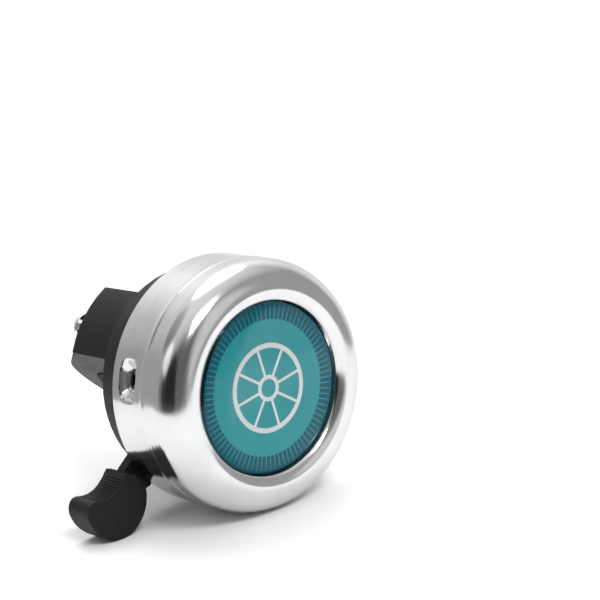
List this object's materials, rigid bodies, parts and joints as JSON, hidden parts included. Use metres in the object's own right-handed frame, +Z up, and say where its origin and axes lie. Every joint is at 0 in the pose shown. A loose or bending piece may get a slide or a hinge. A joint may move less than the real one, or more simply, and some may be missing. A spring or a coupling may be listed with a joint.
{
  "type": "bicycle bell",
  "caption": "Round polished bell with a flat badge face, thumb lever, geared rotor with loose striking washers and a bolted handlebar clamp.",
  "frame": {"origin": "centre of the handlebar bore, on the bar's axis midway along the clamp", "axes": "-Y is the way the dome faces; +Z is up as the bell stands on its rim and thumb lever; the handlebar's axis lies in the XZ plane, leaning 42 degrees from Z"},
  "size_m": [0.0681, 0.0621, 0.0571],
  "materials": {
    "dome_metal": "polished",
    "badge_print": "printed teal face",
    "badge_resin": "clear domed resin",
    "black_plastic": "moulded, fine texture",
    "zinc": "bright zinc plate",
    "steel": "plain stamped steel",
    "rubber": "matt",
    "nylon": "natural nylon"
  },
  "bodies": {
    "root": {"dome": "dome_metal", "badge_disc": "badge_print", "badge_resin": "badge_resin", "dome_screw": "zinc", "base_cup": "black_plastic", "centre_post": "steel", "lever_pivot_pin": "steel", "lever_clip": "steel", "idler_pin": "steel", "idler_clip": "steel", "clamp_strap": "black_plastic", "clamp_screw_a": "zinc", "clamp_screw_b": "zinc", "bar_shim": "rubber", "rotor_clip": "steel"},
    "lever": {"thumb_lever": "black_plastic", "lever_return_spring": "steel"},
    "idler": {"idler_gear": "nylon"},
    "rotor": {"rotor": "steel", "striker_pin_a": "steel", "striker_pin_b": "steel"},
    "washer_a": {"striker_washer_a": "steel"},
    "washer_b": {"striker_washer_b": "steel"}
  },
  "joints": [
    {"name": "lever_stroke", "type": "hinge", "parent": "root", "child": "lever", "pos_m": [-0.01416, -0.0193, -0.01029], "axis": [0, -1, 0], "range_deg": [0, 34], "stiffness_Nm_per_rad": 0.02},
    {"name": "idler_spin", "type": "hinge", "parent": "root", "child": "idler", "pos_m": [-0.00079, -0.0176, -0.01278], "axis": [0, -1, 0], "range_deg": [-111, 0]},
    {"name": "rotor_spin", "type": "hinge", "parent": "root", "child": "rotor", "pos_m": [0, -0.0226, 0], "axis": [0, -1, 0], "range_deg": [0, 185]},
    {"name": "washer_a_throw", "type": "slide", "parent": "rotor", "child": "washer_a", "axis": [-0.7431, 0, 0.6691], "range_m": [0, 0.0011]},
    {"name": "washer_b_throw", "type": "slide", "parent": "rotor", "child": "washer_b", "axis": [0.7431, 0, -0.6691], "range_m": [0, 0.0011]}
  ],
  "couplings": [
    {"joint": "idler_spin", "follows": "lever_stroke", "ratio": -3.25},
    {"joint": "rotor_spin", "follows": "lever_stroke", "ratio": 5.4167}
  ]
}
